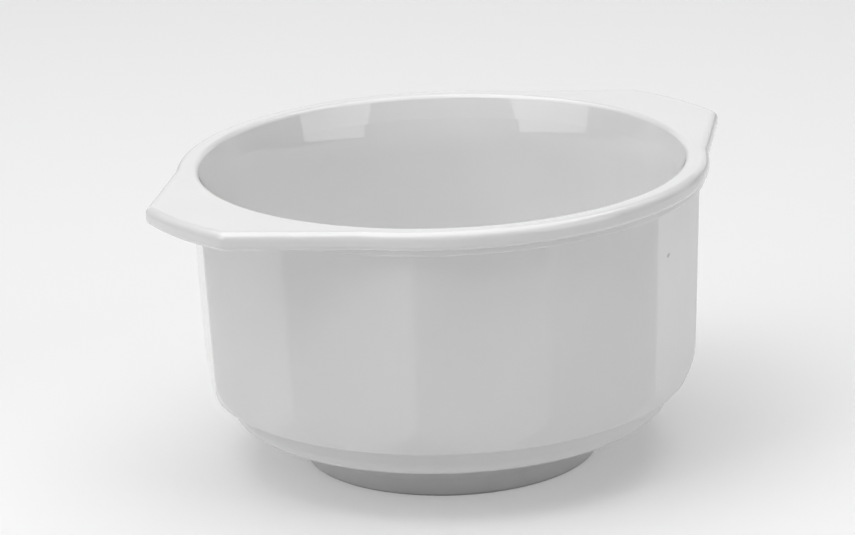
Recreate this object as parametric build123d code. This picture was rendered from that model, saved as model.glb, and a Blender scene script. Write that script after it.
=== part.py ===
from build123d import *
import os

# Lug soup bowl, in millimetres. The origin is under the middle of the foot and +Z is up.
# The two lugs lie along X. Each lug sits over the middle of a facet.

# Overall size
bowl_height = 61.4
rim_radius = 53.5

# Rim collar and lugs
rim_thickness = 3.6
rim_width = 4.3
rim_top_rounding = 1.7
rim_under_rounding = 1.2
lip_rounding = 1.2
collar_height = 4.7
band_inset = 0.8
band_edge_rounding = 0.3
lug_length = 11.0
lug_root_angle = 36.3
lug_side_lean = 43.5
lug_end_offset = 9.5
lug_corner_rounding = 3.5
lug_root_fillet = 20.0
lug_seat_step = 0.2

# Faceted wall
facet_count = 12
band_overhang = 1.0
facet_lean = 1.95
facet_edge_softening = 4.0
fade_height = 6.5
fade_steps = 6
shelf_edge_inset = 0.3
shelf_flat_rest = 1.4
shelf_edge_rounding = 0.4

# Turned inside
floor_height = 10.2
cove_radius = 14.0
inner_wall_lean = 5.0
flare_height = 11.4
flare_width = 3.1
mouth_overcut = 5.0

# Stepped base
shelf_height = 15.5
step_nesting_gap = 1.5
step_rounding = 2.4
step_under_height = 10.3

# Foot
foot_inset = 14.8
foot_bearing_width = 4.0
foot_bearing_rounding = 0.8
foot_outer_lean = 12.0
foot_inner_lean = 8.0
foot_seat_height = 3.8
foot_root_width = 2.3
foot_root_height = 6.3
foot_root_fillet = 2.5
recess_height = 5.6
recess_fillet = 1.4

# Heights, and radii counted inwards and outwards from the rim
rim_underside = bowl_height - rim_thickness
collar_underside = bowl_height - collar_height
flare_start_height = bowl_height - flare_height
lug_reach = rim_radius + lug_length
band_radius = rim_radius - band_inset
lug_seat = band_radius + lug_seat_step
wall_corner_radius = band_radius - band_overhang
mouth_radius = rim_radius - rim_width
flare_start_radius = mouth_radius - flare_width
step_radius = flare_start_radius - step_nesting_gap
foot_bearing_radius = step_radius - foot_inset
foot_inner_radius = foot_bearing_radius - foot_bearing_width
foot_root_radius = foot_bearing_radius + foot_root_width


def lean_run(height, angle):
    """Sideways run of a line that leans by an angle over a height."""
    return Vector(0, height).rotate(Axis.Z, -angle).X / Vector(0, 1).rotate(Axis.Z, -angle).Y


def turned(profile):
    """A half profile in the XZ plane turned round the bowl's axis."""
    return revolve(Plane.XZ * profile, Axis.Z)


def ring_edges(solid, height, inside, outside):
    """Edges lying at one height whose middles fall between two radii from the axis."""
    level = solid.edges().filter_by_position(Axis.Z, height - 0.01, height + 0.01)
    middles = [(edge, edge.position_at(0.5)) for edge in level]
    return [edge for edge, middle in middles if inside < Vector(middle.X, middle.Y).length < outside]


# The inside is one turned surface: flat floor, round cove, leaning wall and a lip that flares open.
corner_radius = flare_start_radius - lean_run(flare_start_height - floor_height, inner_wall_lean)
floor_line = Line((0, floor_height), (corner_radius, floor_height))
wall_line = Line(floor_line @ 1, (flare_start_radius, flare_start_height))
flare = TangentArc(wall_line @ 1, (mouth_radius, bowl_height), tangent=wall_line % 1)
overcut_height = bowl_height + mouth_overcut
mouth = Polyline(flare @ 1, (mouth_radius, overcut_height), (0, overcut_height), (0, floor_height))
inside_profile = make_face([floor_line, wall_line, flare, mouth])
cove_corner = inside_profile.vertices().sort_by_distance(floor_line @ 1)[0]
inside_profile = fillet(cove_corner, cove_radius)
inside = turned(inside_profile)

# Twelve flat facets lean in gently from the collar, with softened edges between them.
facet_turn = 180 / facet_count
flat_share = Vector(1, 0).rotate(Axis.Z, facet_turn).X
fade_start_height = shelf_height + fade_height
facet_height = collar_underside - fade_start_height
collar_outline = RegularPolygon(wall_corner_radius, facet_count, rotation=facet_turn)
facets = extrude(Pos(0, 0, collar_underside) * collar_outline, facet_height, dir=(0, 0, -1), taper=facet_lean)
facet_edges = facets.edges().filter_by(lambda edge: edge.bounding_box().size.Z > facet_height / 2)
facets = fillet(facet_edges, facet_edge_softening)


def facet_section(height, inset, softening):
    """The wall's outline at one height: flats on the facets' lean, set in a little, with rounded corners."""
    flat_run = lean_run(collar_underside - height, facet_lean) + inset
    outline = RegularPolygon(wall_corner_radius - flat_run / flat_share, facet_count, rotation=facet_turn)
    return Pos(0, 0, height) * fillet(outline.vertices(), softening)


# Towards the shelf the corners round off more and more until the wall ends in a circle.
full_round = wall_corner_radius * flat_share - lean_run(collar_underside - shelf_height, facet_lean)
last_softening = full_round - shelf_edge_inset - shelf_flat_rest
sections = [facets.faces().sort_by(Axis.Z)[0]]
for step in range(1, fade_steps + 1):
    share = step / fade_steps
    softening = facet_edge_softening + share**2 * (last_softening - facet_edge_softening)
    height = fade_start_height - share * fade_height
    sections.append(facet_section(height, share**2 * shelf_edge_inset, softening))
facets += loft(sections)
shelf_outline = facets.faces().sort_by(Axis.Z)[0].outer_wire().edges()
faceted_wall = fillet(shelf_outline, shelf_edge_rounding) - inside

# The rim is drawn in plan: a ring with two lugs whose straight sides narrow towards a curved end.
lug_root = Vector(rim_radius, 0).rotate(Axis.Z, lug_root_angle)
side_meeting = lug_root.X + lean_run(lug_root.Y, 90 - lug_side_lean)
lug_blank = Polygon((0, 0), (lug_root.X, -lug_root.Y), (side_meeting, 0), (lug_root.X, lug_root.Y), align=None)
lug_plan = lug_blank & Pos(lug_end_offset, 0) * Circle(lug_reach - lug_end_offset)
rim_outline = Circle(rim_radius)
for lug_direction in (0, 180):
    rim_outline += Rot(0, 0, lug_direction) * lug_plan
end_corners = rim_outline.vertices().filter_by(lambda corner: abs(corner.X) > rim_radius)
rim_outline = fillet(end_corners, lug_corner_rounding)
root_corners = rim_outline.vertices().filter_by(lambda corner: abs(corner.X) < lug_root.X + 0.01)
rim_outline = fillet(root_corners, lug_root_fillet)

rim = extrude(Pos(0, 0, rim_underside) * rim_outline, rim_thickness)
rim = fillet(rim.faces().sort_by(Axis.Z)[-1].outer_wire().edges(), rim_top_rounding)
rim = fillet(rim.faces().sort_by(Axis.Z)[0].outer_wire().edges(), rim_under_rounding)

# A narrow band under the rim carries it down to the tops of the facets.
band_profile = Polygon(
    (0, collar_underside), (band_radius, collar_underside), (band_radius, rim_underside + rim_under_rounding),
    (0, rim_underside + rim_under_rounding), align=None
)
rim += turned(band_profile)
band_edge = ring_edges(rim, collar_underside, band_radius - 0.1, band_radius + 0.1)
rim = fillet(band_edge, band_edge_rounding) - inside
lip_edge = ring_edges(rim, bowl_height, mouth_radius - 0.1, mouth_radius + 0.1)
rim = fillet(lip_edge, lip_rounding)

# Each lug meets the collar on a flat seat across its root.
right_seat = Plane.YZ.offset(lug_seat)
left_seat = Plane.YZ.offset(-lug_seat)
right_lug = split(rim, right_seat, keep=Keep.TOP)
left_lug = split(rim, left_seat, keep=Keep.BOTTOM)
rim_collar = split(split(rim, right_seat, keep=Keep.BOTTOM), left_seat, keep=Keep.TOP)

# The base carries the floor, the step that nests in the mouth of the bowl below, and the root of the foot.
seat_outer = foot_bearing_radius + lean_run(foot_seat_height, foot_outer_lean)
seat_inner = foot_inner_radius - lean_run(foot_seat_height, foot_inner_lean)
base_profile = Polygon(
    (0, recess_height),
    (seat_inner - lean_run(recess_height - foot_seat_height, foot_inner_lean), recess_height),
    (seat_inner, foot_seat_height),
    (seat_outer, foot_seat_height),
    (foot_root_radius, foot_root_height),
    (step_radius, step_under_height),
    (step_radius, shelf_height),
    (0, shelf_height),
    align=None,
)
step_corner = base_profile.vertices().sort_by_distance((step_radius, step_under_height))[0]
base_profile = fillet(step_corner, step_rounding)
root_corner = base_profile.vertices().sort_by_distance((foot_root_radius, foot_root_height))[0]
base_profile = fillet(root_corner, foot_root_fillet)
recess_corner = base_profile.vertices().sort_by_distance((seat_inner, recess_height))[0]
base_profile = fillet(recess_corner, recess_fillet)
stepped_base = turned(base_profile) - inside

# The foot ring leans out a little towards the base and bears on a rounded ring.
foot_profile = Polygon(
    (foot_inner_radius, 0),
    (foot_bearing_radius, 0),
    (seat_outer, foot_seat_height),
    (seat_inner, foot_seat_height),
    align=None,
)
bearing_corners = foot_profile.vertices().group_by(Axis.Y)[0]
foot_ring = turned(fillet(bearing_corners, foot_bearing_rounding))

pieces = {
    "faceted_wall": faceted_wall,
    "rim_collar": rim_collar,
    "left_lug": left_lug,
    "right_lug": right_lug,
    "stepped_base": stepped_base,
    "foot_ring": foot_ring,
}

os.makedirs("parts", exist_ok=True)
for name, piece in pieces.items():
    export_step(piece, f"parts/{name}.step")
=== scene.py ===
import math
from collections import namedtuple
import bpy
from mathutils import Matrix, Vector

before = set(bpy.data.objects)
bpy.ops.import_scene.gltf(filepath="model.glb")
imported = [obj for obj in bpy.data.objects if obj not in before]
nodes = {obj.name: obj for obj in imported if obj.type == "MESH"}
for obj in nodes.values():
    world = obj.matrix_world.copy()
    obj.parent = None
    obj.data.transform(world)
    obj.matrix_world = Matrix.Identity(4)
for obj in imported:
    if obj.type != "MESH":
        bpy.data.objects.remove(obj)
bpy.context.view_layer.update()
scene = bpy.context.scene

# Camera: a long lens, placed from the photograph's own perspective. Metres and radians.
IMAGE_WIDTH = 855                # pixels
FOCAL_LENGTH = 3600.0            # pixels
SENSOR_WIDTH = 36.0              # millimetres
MOUTH_RADIUS = 0.050             # the mouth's edge, in units of which the camera was fitted
TURN = math.radians(-37.64)      # from the bowl's -Y side round to the camera's side
DISTANCE = 13.9058 * MOUTH_RADIUS
HEIGHT = 5.1105 * MOUTH_RADIUS
YAW, PITCH, ROLL = -0.0053, 0.3029, -0.0365
NEAR_CLIP, FAR_CLIP = 0.01, 50.0

# Studio lamps: degrees to the right of the camera's side and above the horizon, metres and watts.
Lamp = namedtuple("Lamp", "azimuth elevation distance width height watts")
LAMPS = {
    "top_softbox": Lamp(azimuth=180, elevation=88, distance=1.0, width=1.3, height=1.3, watts=10.3),
    "left_softbox": Lamp(azimuth=-60, elevation=27, distance=0.9, width=0.62, height=0.56, watts=1.65),
    "right_softbox": Lamp(azimuth=57, elevation=27, distance=0.9, width=0.56, height=0.56, watts=1.45),
    "left_top_softbox": Lamp(azimuth=-65, elevation=58, distance=1.0, width=0.8, height=0.8, watts=2.3),
    "back_panel": Lamp(azimuth=180, elevation=15, distance=1.5, width=2.2, height=0.55, watts=1.9),
}
AIM_HEIGHT = 0.03                # where on the bowl's axis the lamps point

# World: a dim light and the walls that are seen, by place (0 at the camera, 1 far behind) and tone.
WORLD_STRENGTH = 0.01
PALE_WALLS = ((0.12, 0.5), (0.33, 0.0), (0.65, 0.0), (0.78, 0.6))

# Floor: a paper sweep, by depth behind the bowl and height in metres.
SWEEP_PROFILE = ((-0.75, 0.0), (1.2, 0.0), (1.7, 0.06), (2.1, 0.30), (2.3, 0.8), (2.3, 2.5))
SWEEP_HALF_WIDTH = 3.0
PAPER_ROUGHNESS = 0.9
PAPER_SPECULAR = 0.1
PAPER_TONE = 0.88                # as it is seen
PAPER_BOUNCE_TONE = 0.81         # as it lights the bowl
PAPER_GLOW_TONE = 1.0
PAPER_GLOW_SHARE = 0.27          # how much of the glow is mixed into what is seen

# Porcelain and its glaze. One seed for all pieces lets the tones run on across the seams.
GLAZE_SEED = 3.0
GLAZE_IOR = 1.6
BODY_SPECULAR = 0.2
BODY_ROUGHNESS = 0.4
BODY_CLOUDS = dict(scale=45, detail=3)
BODY_TONES = ((0.3, 0.785), (0.7, 0.815))
GLOSS_CLOUDS = dict(scale=70, detail=2)
GLOSS_ROUGHNESS = ((0.35, 0.012), (0.7, 0.03))
GLAZE_WAVES = dict(scale=110, detail=1)
WAVE_STRENGTH = 0.12
WAVE_DEPTH = 0.0002

# The iron speck on the wall, with lengths in metres
SPECK_PLACE = (0.0194, -0.0461, 0.0467)
SPECK_RADIUS = 0.0013
SPECK_CORE = 0.3                 # share of the radius that has the full tone
SPECK_FLATNESS = 2.2             # width over height
SPECK_TONE = 0.4

# The bare bearing face under the foot, with lengths in metres
WIPED_HEIGHT = 0.0006
WIPED_CORE = 0.7                 # share of the height that is wholly bare
BARE_TONE = 0.68
BARE_ROUGHNESS = 0.85


def grey(tone):
    return (tone, tone, tone, 1)


def facing(azimuth, elevation=0.0):
    """Unit direction from the bowl, by degrees to the right of the camera's side and above the horizon."""
    across, rise = math.radians(azimuth), math.radians(elevation)
    side = Vector((math.sin(across) * math.cos(rise), -math.cos(across) * math.cos(rise), math.sin(rise)))
    return Matrix.Rotation(TURN, 3, "Z") @ side


def place_camera():
    forward = Vector((math.sin(YAW) * math.cos(PITCH), math.cos(YAW) * math.cos(PITCH), -math.sin(PITCH)))
    right = Vector((math.cos(YAW), -math.sin(YAW), 0))
    up = right.cross(forward)
    level = math.cos(ROLL) * right + math.sin(ROLL) * up
    upright = math.cos(ROLL) * up - math.sin(ROLL) * right
    axes = Matrix((level, upright, -forward)).transposed()
    data = bpy.data.cameras.new("photo_camera")
    data.sensor_fit = "HORIZONTAL"
    data.sensor_width = SENSOR_WIDTH
    data.lens = FOCAL_LENGTH / IMAGE_WIDTH * SENSOR_WIDTH
    data.clip_start, data.clip_end = NEAR_CLIP, FAR_CLIP
    camera = bpy.data.objects.new("photo_camera", data)
    turn = Matrix.Rotation(TURN, 4, "Z")
    camera.matrix_world = turn @ (Matrix.Translation((0, -DISTANCE, HEIGHT)) @ axes.to_4x4())
    scene.collection.objects.link(camera)
    scene.camera = camera


def light_scene():
    aim = Vector((0, 0, AIM_HEIGHT))
    for name, lamp in LAMPS.items():
        data = bpy.data.lights.new(name, "AREA")
        data.shape = "RECTANGLE"
        data.size, data.size_y = lamp.width, lamp.height
        data.energy = lamp.watts
        panel = bpy.data.objects.new(name, data)
        direction = facing(lamp.azimuth, lamp.elevation)
        panel.location = aim + direction * lamp.distance
        panel.rotation_euler = (-direction).to_track_quat("-Z", "Y").to_euler()
        scene.collection.objects.link(panel)


def add_node(tree, kind, **settings):
    """A new shader node with its settings, some of which decide the sockets that it has."""
    node = tree.nodes.new(kind)
    for key, value in settings.items():
        setattr(node, key, value)
    return node


def fill_ramp(ramp, stops):
    """Sets a colour ramp's stops from pairs of place and grey."""
    while len(ramp.elements) < len(stops):
        ramp.elements.new(0.5)
    for element, (place, tone) in zip(ramp.elements, stops):
        element.position = place
        element.color = grey(tone)


def seen_ray(tree):
    """1 for rays from the eye, from glossy surfaces and through glass; 0 for rays that carry light."""
    ray = add_node(tree, "ShaderNodeLightPath")
    seen = ray.outputs["Is Camera Ray"]
    for kind in ("Is Glossy Ray", "Is Transmission Ray"):
        either = add_node(tree, "ShaderNodeMath", operation="MAXIMUM")
        tree.links.new(seen, either.inputs[0])
        tree.links.new(ray.outputs[kind], either.inputs[1])
        seen = either.outputs["Value"]
    return seen


def studio_world(name):
    """Dim light all round, with pale walls seen before and behind the bowl and dark ones at its sides."""
    world = bpy.data.worlds.new(name)
    world.use_nodes = True
    tree = world.node_tree
    background = tree.nodes["Background"]
    background.inputs["Color"].default_value = grey(1)
    direction = add_node(tree, "ShaderNodeTexCoord").outputs["Generated"]
    depth = add_node(tree, "ShaderNodeVectorMath", operation="DOT_PRODUCT")
    depth.inputs[1].default_value = facing(180)
    tree.links.new(direction, depth.inputs[0])
    span = add_node(tree, "ShaderNodeMapRange")
    span.inputs["From Min"].default_value = -1.0
    tree.links.new(depth.outputs["Value"], span.inputs["Value"])
    walls = add_node(tree, "ShaderNodeValToRGB")
    fill_ramp(walls.color_ramp, PALE_WALLS)
    tree.links.new(span.outputs["Result"], walls.inputs["Fac"])
    shown = add_node(tree, "ShaderNodeMath", operation="MULTIPLY_ADD")
    tree.links.new(walls.outputs["Color"], shown.inputs[0])
    tree.links.new(seen_ray(tree), shown.inputs[1])
    shown.inputs[2].default_value = WORLD_STRENGTH
    tree.links.new(shown.outputs["Value"], background.inputs["Strength"])
    return world


def pale_paper(name):
    """Matt paper that is seen a little whiter than it lights the bowl."""
    material = bpy.data.materials.new(name)
    material.use_nodes = True
    tree = material.node_tree
    paper = tree.nodes["Principled BSDF"]
    paper.inputs["Roughness"].default_value = PAPER_ROUGHNESS
    paper.inputs["Specular IOR Level"].default_value = PAPER_SPECULAR
    glow = add_node(tree, "ShaderNodeEmission")
    glow.inputs["Color"].default_value = grey(PAPER_GLOW_TONE)
    seen = seen_ray(tree)
    tone = add_node(tree, "ShaderNodeMix", data_type="RGBA")
    tone.inputs["A"].default_value = grey(PAPER_BOUNCE_TONE)
    tone.inputs["B"].default_value = grey(PAPER_TONE)
    tree.links.new(seen, tone.inputs["Factor"])
    tree.links.new(tone.outputs["Result"], paper.inputs["Base Color"])
    share = add_node(tree, "ShaderNodeMath", operation="MULTIPLY")
    share.inputs[1].default_value = PAPER_GLOW_SHARE
    tree.links.new(seen, share.inputs[0])
    mix = add_node(tree, "ShaderNodeMixShader")
    tree.links.new(share.outputs["Value"], mix.inputs["Fac"])
    tree.links.new(paper.outputs["BSDF"], mix.inputs[1])
    tree.links.new(glow.outputs["Emission"], mix.inputs[2])
    tree.links.new(mix.outputs["Shader"], tree.nodes["Material Output"].inputs["Surface"])
    return material


def make_floor():
    """A pale sweep: level under the bowl and rising well behind it."""
    turn = Matrix.Rotation(TURN, 3, "Z")
    sides = (-SWEEP_HALF_WIDTH, SWEEP_HALF_WIDTH)
    corners = [turn @ Vector((x, y, z)) for y, z in SWEEP_PROFILE for x in sides]
    faces = [(2 * i, 2 * i + 1, 2 * i + 3, 2 * i + 2) for i in range(len(SWEEP_PROFILE) - 1)]
    mesh = bpy.data.meshes.new("sweep")
    mesh.from_pydata(corners, [], faces)
    for face in mesh.polygons:
        face.use_smooth = True
    mesh.materials.append(pale_paper("pale_sweep"))
    sweep = bpy.data.objects.new("sweep", mesh)
    scene.collection.objects.link(sweep)


class Finish:
    """A Principled material, fed by small procedural chains in the part's own coordinates."""

    def __init__(self, name):
        self.material = bpy.data.materials.new(name)
        self.material.use_nodes = True
        self.tree = self.material.node_tree
        self.shader = self.tree.nodes["Principled BSDF"]
        self.place = self.node("ShaderNodeTexCoord").outputs["Object"]
        self.colour = None

    def node(self, kind, **settings):
        return add_node(self.tree, kind, **settings)

    def link(self, source, target):
        self.tree.links.new(source, target)

    def feed(self, source, target):
        """Links a source to one of the shader's own inputs."""
        self.link(source, self.shader.inputs[target])

    def constant(self, **values):
        for key, value in values.items():
            self.shader.inputs[key.replace("_", " ")].default_value = value

    def noise(self, scale, detail, seed=0.0):
        texture = self.node("ShaderNodeTexNoise", noise_dimensions="4D")
        texture.inputs["W"].default_value = seed
        texture.inputs["Scale"].default_value = scale
        texture.inputs["Detail"].default_value = detail
        self.link(self.place, texture.inputs["Vector"])
        return texture.outputs["Fac"]

    def ramp(self, source, stops):
        ramp = self.node("ShaderNodeValToRGB")
        fill_ramp(ramp.color_ramp, stops)
        self.link(source, ramp.inputs["Fac"])
        return ramp.outputs["Color"]

    def soft_step(self, source, start, end):
        """0 up to the start and 1 from the end on."""
        step = self.node("ShaderNodeMapRange", interpolation_type="SMOOTHSTEP")
        step.inputs["From Min"].default_value = start
        step.inputs["From Max"].default_value = end
        self.link(source, step.inputs["Value"])
        return step.outputs["Result"]

    def bump(self, height, strength, distance, target):
        bump = self.node("ShaderNodeBump")
        bump.inputs["Strength"].default_value = strength
        bump.inputs["Distance"].default_value = distance
        self.link(height, bump.inputs["Height"])
        self.feed(bump.outputs["Normal"], target)

    def paint(self, colour):
        """Makes a source the base colour, and keeps it for what is laid over it."""
        self.colour = colour
        self.feed(colour, "Base Color")

    def lay_over(self, tone, mask):
        """Changes the base colour to a grey where the mask is 0."""
        mix = self.node("ShaderNodeMix", data_type="RGBA")
        mix.inputs["A"].default_value = grey(tone)
        self.link(mask, mix.inputs["Factor"])
        self.link(self.colour, mix.inputs["B"])
        self.paint(mix.outputs["Result"])


def glaze(name, seed):
    """White porcelain under a clear, slightly wavy glaze."""
    finish = Finish(name)
    finish.constant(Specular_IOR_Level=BODY_SPECULAR, Roughness=BODY_ROUGHNESS)
    finish.constant(Coat_Weight=1.0, Coat_IOR=GLAZE_IOR)
    finish.paint(finish.ramp(finish.noise(**BODY_CLOUDS, seed=seed), BODY_TONES))
    finish.feed(finish.ramp(finish.noise(**GLOSS_CLOUDS, seed=seed), GLOSS_ROUGHNESS), "Coat Roughness")
    finish.bump(finish.noise(**GLAZE_WAVES), WAVE_STRENGTH, WAVE_DEPTH, "Coat Normal")
    return finish


def add_iron_speck(finish):
    """One small dark iron speck in the body, drawn out sideways and seen through the glaze."""
    x, y, z = SPECK_PLACE
    around = finish.node("ShaderNodeMapping")
    around.inputs["Scale"].default_value = (1, 1, SPECK_FLATNESS)
    around.inputs["Location"].default_value = (-x, -y, -z * SPECK_FLATNESS)
    finish.link(finish.place, around.inputs["Vector"])
    distance = finish.node("ShaderNodeVectorMath", operation="LENGTH")
    finish.link(around.outputs["Vector"], distance.inputs[0])
    outside = finish.soft_step(distance.outputs["Value"], SPECK_RADIUS * SPECK_CORE, SPECK_RADIUS)
    finish.lay_over(SPECK_TONE, outside)


def wipe_bearing_face(finish):
    """The glaze is wiped off the lowest part of the foot, where the fired body shows matt."""
    heights = finish.node("ShaderNodeSeparateXYZ")
    finish.link(finish.place, heights.inputs["Vector"])
    glazed = finish.soft_step(heights.outputs["Z"], WIPED_HEIGHT * WIPED_CORE, WIPED_HEIGHT)
    finish.feed(glazed, "Coat Weight")
    finish.lay_over(BARE_TONE, glazed)
    finish.feed(finish.ramp(glazed, ((0.0, BARE_ROUGHNESS), (1.0, BODY_ROUGHNESS))), "Roughness")


def put_on(node, material):
    for slot in node.material_slots:
        slot.material = material


place_camera()
light_scene()
scene.world = studio_world("studio")
make_floor()
for node_name, node in nodes.items():
    finish = glaze(node_name + "_glaze", GLAZE_SEED)
    if node_name == "faceted_wall":
        add_iron_speck(finish)
    if node_name == "foot_ring":
        wipe_bearing_face(finish)
    put_on(node, finish.material)
scene.view_settings.view_transform = "Standard"
